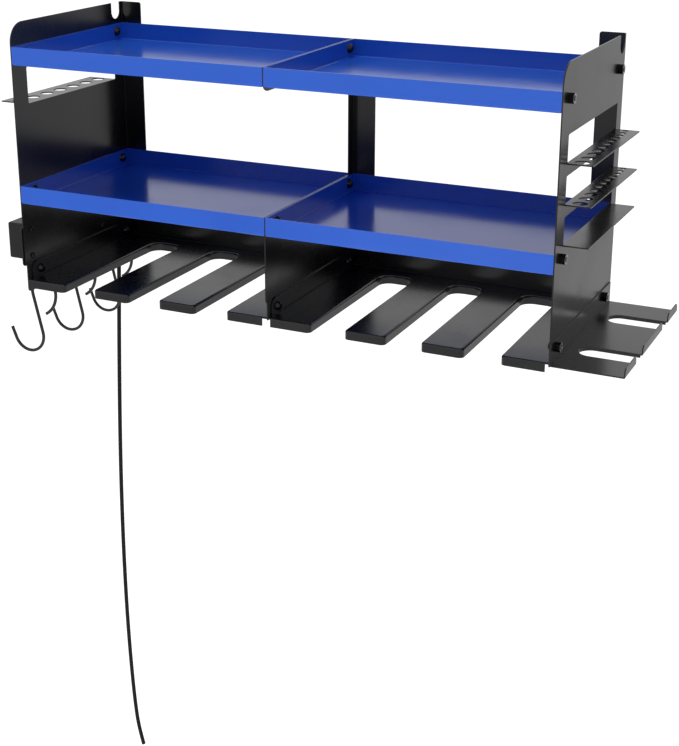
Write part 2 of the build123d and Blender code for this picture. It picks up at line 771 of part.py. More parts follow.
# Switch: bezel with a rim on the housing's face, and a dished rocker on two pins
with BuildPart() as switch_bezel:
    with BuildSketch(Plane.YZ.offset(strip_face - bezel_lip)):
        with Locations((switch_y, strip_middle)):
            Rectangle(rocker_slot + bezel_rim * 2, rocker_slot_width + bezel_rim * 2)
    extrude(amount=bezel_lip)
    fillet(switch_bezel.edges().group_by(Axis.X)[0], bezel_lip / 2)
    with BuildSketch(Plane.YZ.offset(strip_face)):
        with Locations((switch_y, strip_middle)):
            Rectangle(
                rocker_slot + bezel_wall * 2 - fit_gap, rocker_slot_width + bezel_wall * 2 - fit_gap
            )
    extrude(amount=bezel_deep)
    with BuildSketch(Plane.YZ.offset(strip_face - bezel_lip)):
        with Locations((switch_y, strip_middle)):
            Rectangle(rocker_slot, rocker_slot_width)
    extrude(amount=bezel_lip + bezel_deep - bezel_wall, mode=Mode.SUBTRACT)
    with BuildSketch(Plane.XY.offset(strip_middle)):
        with Locations((pivot_x, switch_y)):
            Circle(rocker_pin / 2 + pin_gap)
    extrude(amount=rocker_slot_width, both=True, mode=Mode.SUBTRACT)
switch_bezel.part.label = "switch_bezel"

# The rocker is drawn about its pivot, tilted to one end of its travel
rocker_plane = Plane(
    origin=(pivot_x, switch_y, strip_middle), x_dir=(0, 1, 0), z_dir=(0, 0, 1)
).rotated((0, 0, rocker_tilt))
with BuildPart() as rocker_switch:
    with BuildSketch(rocker_plane):
        half = rocker_length / 2
        with BuildLine():
            Polyline(
                (half, rocker_rise),
                (0, rocker_rise - rocker_dish),
                (-half, rocker_rise),
                (-half * rocker_taper_share, -rocker_deep),
                (half * rocker_taper_share, -rocker_deep),
                close=True,
            )
        make_face()
    extrude(amount=rocker_width / 2, both=True)
    with BuildSketch(rocker_plane):
        Circle(rocker_pin / 2)
    extrude(amount=rocker_slot_width / 2 + pin_bite, both=True)
rocker_switch.part.label = "rocker_switch"

# Screws through the left panel and the back plate's ears
with BuildPart() as strip_screw:
    with BuildSketch(Plane.XY.offset(-strip_head_height)):
        Circle(strip_head_d / 2)
    extrude(amount=strip_head_height)
    fillet(strip_screw.edges().group_by(Axis.Z)[0], strip_head_height / 2)
    with BuildSketch():
        Circle(strip_screw_d / 2)
    extrude(amount=sheet * 2 + strip_nut_height + sheet)
    cross_recess(strip_head_height, strip_drive_span, strip_drive_slot, strip_drive_depth)
with BuildPart() as strip_screws:
    with Locations(*seats(left_bay[0], -1, strip_screw_places)):
        add(strip_screw.part)
strip_screws.part.label = "strip_screws"

strip_nut = make_nut(strip_nut_flats, strip_nut_height, strip_screw_hole, nut_bevel)
with BuildPart() as strip_nuts:
    with Locations(*seats(strip_back, -1, strip_screw_places)):
        add(strip_nut)
strip_nuts.part.label = "strip_nuts"


def hook_course():
    """Middle line of the hook's wire, seen from the front: tail, upper loop, shank,
    lower loop and straight end."""
    loop = Vector(-half_width + loop_in, shelf_top - loop_drop)
    catch = Vector(-half_width - catch_out, shelf_top - catch_drop)
    between = catch - loop
    spread = loop_radius + catch_radius
    shank = sqrt(between.length**2 - spread**2)
    heading = degrees(atan2(between.Y, between.X) + atan2(spread, shank))
    with BuildLine() as middle:
        tail_centre = loop + Vector(loop_radius - tail_radius, 0)
        CenterArc(tail_centre, tail_radius, -tail_turn, tail_turn)
        over = CenterArc(loop, loop_radius, 0, heading + 270)
        under = CenterArc(catch, catch_radius, heading + 90, -catch_turn)
        Line(over @ 1, under @ 0)
        PolarLine(under @ 1, catch_end, heading - catch_turn)
    return middle.wire()


def make_hook(name, station):
    """S-hook across the left panel's foot, with its upper loop in its hole there."""
    course = Plane.XZ.offset(station) * hook_course()
    with BuildPart() as hook:
        with BuildSketch(Plane(origin=course @ 0, z_dir=course % 0)):
            Circle(hook_wire / 2)
        sweep(path=course)
    hook.part.label = name
    return hook.part


hook_names = ("s_hook_front", "s_hook_middle", "s_hook_rear")
hooks = [make_hook(name, station) for name, station in zip(hook_names, hook_stations)]

# Strain relief: a tapered sleeve with rounded grooves on the housing's rear end
relief_start = Plane(
    origin=(cord_x, -strip_rear, strip_middle), x_dir=(0, 1, 0), z_dir=(1, 0, 0)
)
with BuildPart() as cord_strain_relief:
    with BuildSketch(relief_start):
        with BuildLine():
            Polyline(
                (0, 0),
                (0, relief_base / 2),
                (relief_collar, relief_base / 2),
                (relief_length, relief_tip / 2),
                (relief_length, 0),
                close=True,
            )
        make_face()
        taper = (relief_base - relief_tip) / 2 / (relief_length - relief_collar)
        spacing = (relief_length - relief_collar) / (relief_grooves + 1)
        with Locations(
            *[
                (relief_collar + n * spacing, relief_base / 2 - n * spacing * taper)
                for n in range(1, relief_grooves + 1)
            ]
        ):
            Circle(groove_round, mode=Mode.SUBTRACT)
    revolve(axis=Axis(relief_start.origin, (0, 1, 0)))
cord_strain_relief.part.label = "cord_strain_relief"

# Power cord, hanging down the wall to its cut end
points = [Vector(*point) for point in cord_route]
runs = [far - near for near, far in zip(points, points[1:])]
radii = [
    arc_share * min(before.length, after.length) / tan(radians(before.get_angle(after)) / 2)
    for before, after in zip(runs, runs[1:])
]
print("cord radii:", [round(radius) for radius in radii])
with BuildPart() as power_cord:
    with BuildLine() as course:
        FilletPolyline(*points, radius=radii)
    course_wire = course.wire()
    with BuildSketch(Plane(origin=course_wire @ 0, z_dir=course_wire % 0)):
        Circle(cord_d / 2)
    sweep()
power_cord.part.label = "power_cord"
tube_volume = pi * (cord_d / 2) ** 2 * course_wire.length
print(f"cord length {course_wire.length:.1f}, volume share {power_cord.part.volume / tube_volume:.5f}")

pieces = [
    left_side_panel.part,
    right_side_panel.part,
    centre_panel.part,
    *trays,
    *shelves,
    right_side_tray.part,
    tray_bolts.part,
    tray_nuts.part,
    shelf_bolts.part,
    shelf_nuts.part,
    strip_back_plate.part,
    strip_housing.part,
    outlet_inserts.part,
    bus_bars.part,
    switch_bezel.part,
    rocker_switch.part,
    strip_screws.part,
    strip_nuts.part,
    *hooks,
    cord_strain_relief.part,
    power_cord.part,
]
os.makedirs("parts", exist_ok=True)
for piece in pieces:
    export_step(piece, f"parts/{piece.label}.step")
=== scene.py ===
import math

import bmesh
import bpy
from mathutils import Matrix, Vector


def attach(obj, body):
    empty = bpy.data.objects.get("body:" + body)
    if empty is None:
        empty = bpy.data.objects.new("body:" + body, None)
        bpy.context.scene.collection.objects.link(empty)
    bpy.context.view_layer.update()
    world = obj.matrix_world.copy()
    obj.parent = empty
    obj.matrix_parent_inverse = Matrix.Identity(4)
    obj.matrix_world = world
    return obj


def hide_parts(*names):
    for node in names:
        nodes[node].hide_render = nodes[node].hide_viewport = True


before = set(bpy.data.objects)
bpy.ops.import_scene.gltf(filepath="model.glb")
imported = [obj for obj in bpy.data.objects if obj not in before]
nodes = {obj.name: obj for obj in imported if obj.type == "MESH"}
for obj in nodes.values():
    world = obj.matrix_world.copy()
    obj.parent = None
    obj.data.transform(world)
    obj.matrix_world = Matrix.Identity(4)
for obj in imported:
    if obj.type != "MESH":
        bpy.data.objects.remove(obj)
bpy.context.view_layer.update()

MM = 0.001

# Camera, fitted to the photograph
CAMERA_PLACE = (0.7672, -1.67935, 0.4203)
CAMERA_AZIMUTH = 25.59
CAMERA_ELEVATION = 18.43
CAMERA_SENSOR = 36
CAMERA_LENS = 69.714
CAMERA_SHIFT = (0.01609, -0.10383)

# Threads of the quarter inch bolts
BOLT_PITCH = 1.27 * MM

# The power cord's course down the wall, from its strain relief to its cut end
CORD_WIDTH = 6 * MM
CORD_COURSE = [
    (-0.3650, -0.0560, -0.1070),
    (-0.3650, -0.0360, -0.1070),
    (-0.3651, -0.0187, -0.1170),
    (-0.3653, -0.0087, -0.1343),
    (-0.3658, -0.0087, -0.1660),
    (-0.3684, -0.0088, -0.2220),
    (-0.3723, -0.0090, -0.2980),
    (-0.3760, -0.0092, -0.3800),
    (-0.3792, -0.0095, -0.4640),
    (-0.3815, -0.0098, -0.5480),
    (-0.3827, -0.0100, -0.6320),
    (-0.3828, -0.0101, -0.7160),
    (-0.3816, -0.0101, -0.7980),
    (-0.3788, -0.0099, -0.8780),
    (-0.3752, -0.0096, -0.9400),
    (-0.3710, -0.0092, -0.9810),
    (-0.3635, -0.0088, -1.0110),
]

# Rocker of the strip's switch, and the marks printed on its face
ROCKER_PIVOT = (-0.3895, -0.204, -0.107)
ROCKER_TILT = 10  # degrees that it leans at rest
ROCKER_HALF_LENGTH = 8.5 * MM
ROCKER_MIDDLE_RISE = 1.8 * MM  # from the pivot to the middle of the dished face
ROCKER_END_RISE = 1.4 * MM  # from there to the height of its ends
MARK_PLACE = 5.2 * MM  # from the pivot, along the rocker
MARK_PROUD = 0.06 * MM
BAR_HALF_HEIGHT = 1.9 * MM
BAR_HALF_WIDTH = 0.28 * MM
RING_OUTER_RADIUS = 1.8 * MM
RING_INNER_RADIUS = 1.25 * MM

# Floor and surroundings: strengths of light by the kind of ray that meets them
FLOOR_PLACE = (0, 2.0, -1.3)
FLOOR_HALF_SIZE = 9.0
FLOOR_COLOUR = (0.82, 0.82, 0.82, 1)
FLOOR_SEEN = 0.84
FLOOR_MIRRORED = 0.35
SKY_LIGHT = 0.34
SKY_SEEN = 0.68
SKY_MIRRORED = 0.50

DUST_COLOUR = (0.30, 0.29, 0.27)


def keep_in_scene(thing):
    bpy.context.scene.collection.objects.link(thing)
    return thing


# Camera

def set_camera():
    """Camera at the photograph's angle and framing."""
    lens = bpy.data.cameras.new("camera")
    lens.sensor_width = CAMERA_SENSOR
    lens.lens = CAMERA_LENS
    lens.shift_x, lens.shift_y = CAMERA_SHIFT
    camera = keep_in_scene(bpy.data.objects.new("camera", lens))
    camera.location = CAMERA_PLACE
    camera.rotation_euler = (math.radians(90 - CAMERA_ELEVATION), 0, math.radians(CAMERA_AZIMUTH))
    bpy.context.scene.camera = camera


# Helpers for node trees

def effect(name, inputs, outputs):
    """Empty node group with these inputs and outputs."""
    tree = bpy.data.node_groups.new(name, "ShaderNodeTree")
    for label, value in inputs:
        socket = tree.interface.new_socket(label, in_out="INPUT", socket_type="NodeSocketFloat")
        socket.default_value = value
    for label, kind in outputs:
        tree.interface.new_socket(label, in_out="OUTPUT", socket_type=kind)
    return tree, tree.nodes.new("NodeGroupInput"), tree.nodes.new("NodeGroupOutput")


def math_node(tree, operation, first, second=0.0):
    """Sum, product or the like of two values or sockets."""
    node = tree.nodes.new("ShaderNodeMath")
    node.operation = operation
    for socket, value in zip(node.inputs, (first, second)):
        if isinstance(value, bpy.types.NodeSocket):
            tree.links.new(value, socket)
        else:
            socket.default_value = value
    return node.outputs[0]


def spread(tree, value, low, high, to_low=0.0, to_high=1.0):
    """Value stretched from one range to another, and held within it."""
    node = tree.nodes.new("ShaderNodeMapRange")
    tree.links.new(value, node.inputs["Value"])
    for label, number in zip(("From Min", "From Max", "To Min", "To Max"), (low, high, to_low, to_high)):
        node.inputs[label].default_value = number
    return node.outputs[0]


def noise(tree, grain, detail, stretch=None):
    """Noise at a number of grains per metre, on the object's own coordinates."""
    place = tree.nodes.new("ShaderNodeTexCoord").outputs["Object"]
    if stretch:
        mapping = tree.nodes.new("ShaderNodeMapping")
        mapping.inputs["Scale"].default_value = stretch
        tree.links.new(place, mapping.inputs["Vector"])
        place = mapping.outputs[0]
    texture = tree.nodes.new("ShaderNodeTexNoise")
    tree.links.new(place, texture.inputs["Vector"])
    texture.inputs["Detail"].default_value = detail
    if isinstance(grain, bpy.types.NodeSocket):
        tree.links.new(grain, texture.inputs["Scale"])
    else:
        texture.inputs["Scale"].default_value = grain
    return texture.outputs["Fac"]


def slow_tone(tree, grain):
    """Change of tone from place to place, from 0 to 1."""
    return spread(tree, noise(tree, grain, detail=3.0), low=0.3, high=0.7)


def surface_normal(tree):
    return tree.nodes.new("ShaderNodeNewGeometry").outputs["Normal"]


def split_axes(tree, vector):
    axes = tree.nodes.new("ShaderNodeSeparateXYZ")
    tree.links.new(vector, axes.inputs[0])
    return axes.outputs


def facing_along_x(tree):
    """From 0 on faces that run along the X axis to 1 on those square to it."""
    return math_node(tree, "ABSOLUTE", split_axes(tree, surface_normal(tree))["X"])


# Effects that several finishes share

def make_orange_peel():
    """Fine ripple of a cured coat, with a slow change of tone from place to place."""
    tree, given, result = effect(
        "orange_peel", [("Grain", 650.0)], [("Height", "NodeSocketFloat"), ("Tone", "NodeSocketFloat")]
    )
    finer, fine_share = 3.7, 0.35
    coarse = noise(tree, given.outputs["Grain"], detail=1.0)
    fine = noise(tree, math_node(tree, "MULTIPLY", given.outputs["Grain"], finer), detail=2.0)
    height = math_node(tree, "ADD", coarse, math_node(tree, "MULTIPLY", fine, fine_share))
    tree.links.new(height, result.inputs["Height"])
    tree.links.new(slow_tone(tree, 9.0), result.inputs["Tone"])
    return tree


def make_worn_edges():
    """Softened normal at edges, a broken mask along the outer ones where a coat is rubbed,
    and a value that falls from 1 in the open to 0 deep in a fold."""
    tree, given, result = effect(
        "worn_edges", [("Width", 0.6 * MM)],
        [("Mask", "NodeSocketFloat"), ("Open", "NodeSocketFloat"), ("Normal", "NodeSocketVector")]
    )
    rounded = tree.nodes.new("ShaderNodeBevel")
    rounded.samples = 6
    tree.links.new(given.outputs["Width"], rounded.inputs["Radius"])
    turn = tree.nodes.new("ShaderNodeVectorMath")
    turn.operation = "DOT_PRODUCT"
    tree.links.new(rounded.outputs[0], turn.inputs[0])
    tree.links.new(surface_normal(tree), turn.inputs[1])
    bend = spread(tree, turn.outputs["Value"], low=0.98, high=0.78)
    hollow = tree.nodes.new("ShaderNodeAmbientOcclusion")
    hollow.samples = 6
    hollow.only_local = True
    hollow.inputs["Distance"].default_value = 3 * MM
    outer = spread(tree, hollow.outputs["AO"], low=0.82, high=0.97)
    broken = spread(tree, noise(tree, 160.0, detail=4.0), low=0.46, high=0.62)
    rubbed = math_node(tree, "MULTIPLY", bend, broken)
    tree.links.new(math_node(tree, "MULTIPLY", rubbed, outer), result.inputs["Mask"])
    tree.links.new(spread(tree, hollow.outputs["AO"], low=0.45, high=0.85), result.inputs["Open"])
    tree.links.new(rounded.outputs[0], result.inputs["Normal"])
    return tree


def make_rub_marks():
    """Faint hairlines and smudges left by handling."""
    tree, given, result = effect("rub_marks", [("Amount", 1.0)], [("Mask", "NodeSocketFloat")])
    thin = 14.0  # times finer across a hairline than along it
    along = noise(tree, 90.0, detail=3.0, stretch=(1.0, thin, thin))
    across = noise(tree, 90.0, detail=3.0, stretch=(thin, thin, 1.0))
    lines = math_node(tree, "MAXIMUM", spread(tree, along, low=0.66, high=0.72),
                      spread(tree, across, low=0.66, high=0.72))
    smudge = spread(tree, noise(tree, 14.0, detail=4.0), low=0.48, high=0.7, to_high=0.6)
    both = math_node(tree, "MAXIMUM", lines, smudge)
    tree.links.new(math_node(tree, "MULTIPLY", both, given.outputs["Amount"]), result.inputs["Mask"])
    return tree


def make_ends_with_painted_sheen():
    """Mask of the flat ends that face along the X axis, which carry a painted reflection."""
    tree, given, result = effect("ends_with_painted_sheen", [("Sharpness", 0.98)], [("Mask", "NodeSocketFloat")])
    tree.links.new(math_node(tree, "GREATER_THAN", facing_along_x(tree), given.outputs["Sharpness"]),
                   result.inputs["Mask"])
    return tree


def make_settled_dust():
    """Thin dust on faces that look up."""
    tree, given, result = effect("settled_dust", [("Amount", 0.5)], [("Mask", "NodeSocketFloat")])
    level = spread(tree, split_axes(tree, surface_normal(tree))["Z"], low=0.75, high=1.0)
    specks = spread(tree, noise(tree, 340.0, detail=5.0), low=0.5, high=0.75, to_low=0.25)
    drift = spread(tree, noise(tree, 7.0, detail=3.0), low=0.35, high=0.7, to_low=0.2)
    amount = math_node(tree, "MULTIPLY", math_node(tree, "MULTIPLY", level, specks), drift)
    tree.links.new(math_node(tree, "MULTIPLY", amount, given.outputs["Amount"]), result.inputs["Mask"])
    return tree


def make_mould_grain():
    """Fine stipple of a moulded plastic or rubber skin."""
    tree, given, result = effect(
        "mould_grain", [("Grain", 2600.0)], [("Height", "NodeSocketFloat"), ("Tone", "NodeSocketFloat")]
    )
    soft_share = 0.6
    cells = tree.nodes.new("ShaderNodeTexVoronoi")
    place = tree.nodes.new("ShaderNodeTexCoord")
    tree.links.new(place.outputs["Object"], cells.inputs["Vector"])
    tree.links.new(given.outputs["Grain"], cells.inputs["Scale"])
    soft = math_node(tree, "MULTIPLY", noise(tree, 900.0, detail=2.0), soft_share)
    tree.links.new(math_node(tree, "ADD", cells.outputs["Distance"], soft), result.inputs["Height"])
    tree.links.new(slow_tone(tree, 22.0), result.inputs["Tone"])
    return tree


def make_screw_thread():
    """Ridges of a thread along the X axis, on the sides of a shank and not on its ends."""
    tree, given, result = effect("screw_thread", [("Pitch", BOLT_PITCH)], [("Height", "NodeSocketFloat")])
    place = tree.nodes.new("ShaderNodeTexCoord").outputs["Object"]
    turns = math_node(tree, "DIVIDE", split_axes(tree, place)["X"], given.outputs["Pitch"])
    ridge = math_node(tree, "SINE", math_node(tree, "MULTIPLY", turns, math.tau))
    side = spread(tree, facing_along_x(tree), low=0.05, high=0.2, to_low=1.0, to_high=0.0)
    tree.links.new(math_node(tree, "MULTIPLY", ridge, side), result.inputs["Height"])
    return tree


orange_peel = make_orange_peel()
worn_edges = make_worn_edges()
rub_marks = make_rub_marks()
ends_with_painted_sheen = make_ends_with_painted_sheen()
settled_dust = make_settled_dust()
mould_grain = make_mould_grain()
screw_thread = make_screw_thread()


# Ways of finishing a surface

def new_finish(name):
    finish = bpy.data.materials.new(name)
    finish.use_nodes = True
    return finish, finish.node_tree, finish.node_tree.nodes["Principled BSDF"]


def put(tree, group, **values):
    """Shared effect placed in a finish with its own values."""
    node = tree.nodes.new("ShaderNodeGroup")
    node.node_tree = group
    for label, value in values.items():
        node.inputs[label].default_value = value
    return node.outputs


def tint(tree, mask, under, over):
    """Colour that goes from one to the other by a mask."""
    node = tree.nodes.new("ShaderNodeMix")
    node.data_type = "RGBA"
    tree.links.new(mask, node.inputs[0])
    for socket, colour in ((node.inputs[6], under), (node.inputs[7], over)):
        if isinstance(colour, bpy.types.NodeSocket):
            tree.links.new(colour, socket)
        else:
            socket.default_value = (*colour, 1.0)
    return node.outputs[2]


def more(tree, value, mask, amount):
    """Value raised by an amount where the mask is 1."""
    return math_node(tree, "ADD", value, math_node(tree, "MULTIPLY", mask, amount))


def relief(tree, height, depth, normal=None):
    """Normal with a fine relief of this depth in metres."""
    bump = tree.nodes.new("ShaderNodeBump")
    bump.inputs["Distance"].default_value = depth
    tree.links.new(height, bump.inputs["Height"])
    if normal:
        tree.links.new(normal, bump.inputs["Normal"])
    return bump.outputs[0]


def powder_coat(name, colour, deep_colour, rubbed_colour, gloss):
    """Cured powder coat on sheet steel, rubbed along its edges and dull deep in its folds."""
    rubbed_share, marks_dull, fold_dull, dust_dull = 0.15, 0.07, 0.3, 0.6
    finish, tree, shader = new_finish(name)
    peel = put(tree, orange_peel, Grain=620.0)
    edges = put(tree, worn_edges, Width=0.3 * MM)
    marks = put(tree, rub_marks, Amount=1.0)
    dust = put(tree, settled_dust, Amount=0.03)
    body = tint(tree, peel["Tone"], deep_colour, colour)
    rubbed = tint(tree, math_node(tree, "MULTIPLY", edges["Mask"], rubbed_share), body, rubbed_colour)
    tree.links.new(tint(tree, dust["Mask"], rubbed, DUST_COLOUR), shader.inputs["Base Color"])
    rough = spread(tree, peel["Tone"], 0.0, 1.0, *gloss)
    rough = more(tree, rough, marks["Mask"], marks_dull)
    rough = math_node(tree, "ADD", rough, spread(tree, edges["Open"], 0.0, 1.0, fold_dull, 0.0))
    tree.links.new(more(tree, rough, dust["Mask"], dust_dull), shader.inputs["Roughness"])
    tree.links.new(relief(tree, peel["Height"], 0.012 * MM, edges["Normal"]), shader.inputs["Normal"])
    return finish


def black_steel(name, colour, deep_colour, end_sheen_colour, gloss, threaded):
    """Blackened steel of bolts and nuts, brighter where it is rubbed, and with a painted reflection on
    the flat ends that face along the X axis.
    """
    rubbed_share = 0.4
    finish, tree, shader = new_finish(name)
    grain = put(tree, mould_grain, Grain=5200.0)
    edges = put(tree, worn_edges, Width=0.3 * MM)
    ends = put(tree, ends_with_painted_sheen, Sharpness=0.98)
    # The end colour on faces along the X axis is a painted reflection of bright surroundings.
    body = tint(tree, ends["Mask"], tint(tree, grain["Tone"], deep_colour, colour), end_sheen_colour)
    rubbed = math_node(tree, "MULTIPLY", edges["Mask"], rubbed_share)
    tree.links.new(tint(tree, rubbed, body, (0.16, 0.16, 0.165)), shader.inputs["Base Color"])
    shader.inputs["Metallic"].default_value = 0.85
    tree.links.new(spread(tree, grain["Tone"], 0.0, 1.0, *gloss), shader.inputs["Roughness"])
    normal = relief(tree, grain["Height"], 0.006 * MM, edges["Normal"])
    if threaded:
        ridges = put(tree, screw_thread, Pitch=BOLT_PITCH)
        normal = relief(tree, ridges["Height"], 0.25 * MM, normal)
    tree.links.new(normal, shader.inputs["Normal"])
    return finish


def moulded(name, colour, deep_colour, gloss, grain_size, depth, edge_width, shine=0.5):
    """Moulded plastic or rubber with a stippled skin."""
    polished_share = 0.2
    finish, tree, shader = new_finish(name)
    shader.inputs["Specular IOR Level"].default_value = shine
    grain = put(tree, mould_grain, Grain=grain_size)
    edges = put(tree, worn_edges, Width=edge_width)
    dust = put(tree, settled_dust, Amount=0.05)
    body = tint(tree, grain["Tone"], deep_colour, colour)
    polished = math_node(tree, "MULTIPLY", edges["Mask"], polished_share)
    skin = tint(tree, polished, body, (0.10, 0.10, 0.10))
    tree.links.new(tint(tree, dust["Mask"], skin, DUST_COLOUR), shader.inputs["Base Color"])
    tree.links.new(spread(tree, grain["Tone"], 0.0, 1.0, *gloss), shader.inputs["Roughness"])
    tree.links.new(relief(tree, grain["Height"], depth, edges["Normal"]), shader.inputs["Normal"])
    return finish


def brass(name):
    """Rolled brass of the contact bars, a little tarnished."""
    finish, tree, shader = new_finish(name)
    marks = put(tree, rub_marks, Amount=1.0)
    edges = put(tree, worn_edges, Width=0.2 * MM)
    body = tint(tree, marks["Mask"], (0.70, 0.47, 0.17), (0.42, 0.25, 0.09))
    tree.links.new(tint(tree, edges["Mask"], body, (0.85, 0.62, 0.28)), shader.inputs["Base Color"])
    shader.inputs["Metallic"].default_value = 1.0
    tree.links.new(spread(tree, marks["Mask"], 0.0, 1.0, 0.22, 0.42), shader.inputs["Roughness"])
    tree.links.new(edges["Normal"], shader.inputs["Normal"])
    return finish


def white_ink(name):
    """Pad-printed ink of the switch's marks."""
    finish, tree, shader = new_finish(name)
    grain = put(tree, mould_grain, Grain=5000.0)
    tree.links.new(tint(tree, grain["Tone"], (0.62, 0.62, 0.60), (0.74, 0.74, 0.72)),
                   shader.inputs["Base Color"])
    tree.links.new(spread(tree, grain["Tone"], 0.0, 1.0, 0.4, 0.55), shader.inputs["Roughness"])
    tree.links.new(relief(tree, grain["Height"], 0.004 * MM), shader.inputs["Normal"])
    return finish


# Finishes of the pieces

def dress(finish, *names):
    """The finish on these CAD nodes."""
    for name in names:
        nodes[name].data.materials.clear()
        nodes[name].data.materials.append(finish)


def coat_sheets():
    """Black panels and shelves, blue trays."""
    black = powder_coat("black_powder_coat", colour=(0.0050, 0.0050, 0.0053),
                        deep_colour=(0.0036, 0.0036, 0.0038), rubbed_colour=(0.060, 0.060, 0.062),
                        gloss=(0.20, 0.25))
    blue = powder_coat("blue_powder_coat", colour=(0.0175, 0.107, 0.60),
                       deep_colour=(0.015, 0.098, 0.56), rubbed_colour=(0.10, 0.20, 0.66),
                       gloss=(0.15, 0.19))
    dress(black, "left_side_panel", "right_side_panel", "centre_panel", "left_tool_shelf",
          "right_tool_shelf", "right_side_tray", "strip_back_plate")
    dress(blue, "upper_left_tray", "upper_right_tray", "lower_left_tray", "lower_right_tray")


def finish_fasteners():
    bolts = black_steel("bolt_steel", colour=(0.030, 0.030, 0.032), deep_colour=(0.020, 0.020, 0.022),
                        end_sheen_colour=(0.035, 0.035, 0.037), gloss=(0.12, 0.20), threaded=True)
    # The nuts' light end colour is a painted reflection of bright surroundings on their faces along the X
    # axis.
    nuts = black_steel("nut_steel", colour=(0.014, 0.014, 0.015), deep_colour=(0.009, 0.009, 0.010),
                       end_sheen_colour=(0.30, 0.30, 0.305), gloss=(0.20, 0.30), threaded=False)
    dress(bolts, "tray_bolts", "shelf_bolts", "strip_screws")
    dress(nuts, "tray_nuts", "shelf_nuts", "strip_nuts")


def finish_strip():
    """Grey-black housing, plainer black plastic in it, and the bars behind the outlets."""
    housing = moulded("grey_housing", colour=(0.009, 0.009, 0.0095), deep_colour=(0.007, 0.007, 0.0074),
                      gloss=(0.36, 0.46), grain_size=2400.0, depth=0.03 * MM, edge_width=0.6 * MM,
                      shine=0.32)
    inserts = moulded("black_plastic", colour=(0.009, 0.009, 0.0095), deep_colour=(0.006, 0.006, 0.0065),
                      gloss=(0.30, 0.40), grain_size=3200.0, depth=0.01 * MM, edge_width=0.4 * MM)
    rocker = moulded("rocker_plastic", colour=(0.010, 0.010, 0.010), deep_colour=(0.007, 0.007, 0.007),
                     gloss=(0.16, 0.22), grain_size=3600.0, depth=0.004 * MM, edge_width=0.4 * MM)
    dress(housing, "strip_housing")
    dress(inserts, "outlet_inserts", "switch_bezel")
    dress(rocker, "rocker_switch")
    dress(brass("contact_brass"), "bus_bars")


def finish_hooks():
    wire = moulded("coated_wire", colour=(0.006, 0.006, 0.0062), deep_colour=(0.004, 0.004, 0.0042),
                   gloss=(0.28, 0.36), grain_size=2800.0, depth=0.008 * MM, edge_width=0.5 * MM)
    dress(wire, "s_hook_front", "s_hook_middle", "s_hook_rear")


def finish_strain_relief():
    """Rubber of the strain relief, which the cord shares."""
    rubber = moulded("cord_rubber", colour=(0.008, 0.008, 0.0083), deep_colour=(0.006, 0.006, 0.0063),
                     gloss=(0.46, 0.58), grain_size=2400.0, depth=0.015 * MM, edge_width=0.4 * MM,
                     shine=0.2)
    dress(rubber, "cord_strain_relief")
    return rubber


# Power cord

def hang_cord(rubber):
    """Cord on one smooth spline through its course."""
    line = bpy.data.curves.new("mains_cord", "CURVE")
    line.dimensions = "3D"
    line.resolution_u = 14
    line.bevel_depth = CORD_WIDTH / 2
    line.bevel_resolution = 7
    line.use_fill_caps = True
    spline = line.splines.new("NURBS")
    spline.points.add(len(CORD_COURSE) - 1)
    for point, place in zip(spline.points, CORD_COURSE):
        point.co = (*place, 1.0)
    spline.order_u = 3
    spline.use_endpoint_u = True
    line.materials.append(rubber)
    cord = keep_in_scene(bpy.data.objects.new("mains_cord", line))
    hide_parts("power_cord")
    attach(cord, "frame")


# Marks on the rocker switch

def rocker_point(along, out, up):
    """Point on the rocker, from its pivot: along it, out of the housing, and up."""
    tilt = math.radians(ROCKER_TILT)
    along_axis = Vector((-math.sin(tilt), math.cos(tilt), 0))
    out_axis = Vector((-math.cos(tilt), -math.sin(tilt), 0))
    return Vector(ROCKER_PIVOT) + along_axis * along + out_axis * out + Vector((0, 0, up))


def rocker_face(along):
    """Height of the rocker's dished face over its pivot, at a distance along it."""
    return ROCKER_MIDDLE_RISE + ROCKER_END_RISE * abs(along) / ROCKER_HALF_LENGTH


def outline_ring(mesh, loop, height, share):
    """Vertices of an outline at a height over the rocker's face, drawn in to a share of its size."""
    middle_x = sum(x for x, _ in loop) / len(loop)
    middle_y = sum(y for _, y in loop) / len(loop)
    ring = []
    for x, y in loop:
        x = middle_x + (x - middle_x) * share
        y = middle_y + (y - middle_y) * share
        ring.append(mesh.verts.new(rocker_point(x, rocker_face(x) + height, y)))
    return ring


def bridge(mesh, ring, next_ring):
    """Band of faces between two rings of vertices."""
    for n in range(len(ring)):
        mesh.faces.new((ring[n], ring[n - 1], next_ring[n - 1], next_ring[n]))


def raised_outline(name, loops, finish):
    """Flat mark on the rocker's face, a little proud of it: a filled loop, or the band
    between two."""
    shoulder_share, top_share = 0.6, 0.97
    mesh = bmesh.new()
    tops = []
    for loop in loops:
        foot = outline_ring(mesh, loop, -MARK_PROUD, 1.0)
        shoulder = outline_ring(mesh, loop, MARK_PROUD * shoulder_share, 1.0)
        tops.append(outline_ring(mesh, loop, MARK_PROUD, top_share))
        bridge(mesh, foot, shoulder)
        bridge(mesh, shoulder, tops[-1])
    if len(tops) == 1:
        mesh.faces.new(tops[0])
    else:
        bridge(mesh, *tops)
    bmesh.ops.recalc_face_normals(mesh, faces=mesh.faces)
    data = bpy.data.meshes.new(name)
    mesh.to_mesh(data)
    mesh.free()
    data.materials.append(finish)
    mark = keep_in_scene(bpy.data.objects.new(name, data))
    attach(mark, "rocker")


def circle(centre, radius, count=40):
    return [(centre + radius * math.cos(math.tau * n / count), radius * math.sin(math.tau * n / count))
            for n in range(count)]


def upright_bar(centre, half_height, half_width, steps=10):
    """Outline of a bar with round ends."""
    outline = []
    for sign, start in ((1, 0), (-1, math.pi)):
        for n in range(steps + 1):
            angle = math.pi * n / steps + start
            outline.append((centre + half_width * math.cos(angle),
                            sign * (half_height - half_width) + half_width * math.sin(angle)))
    return outline


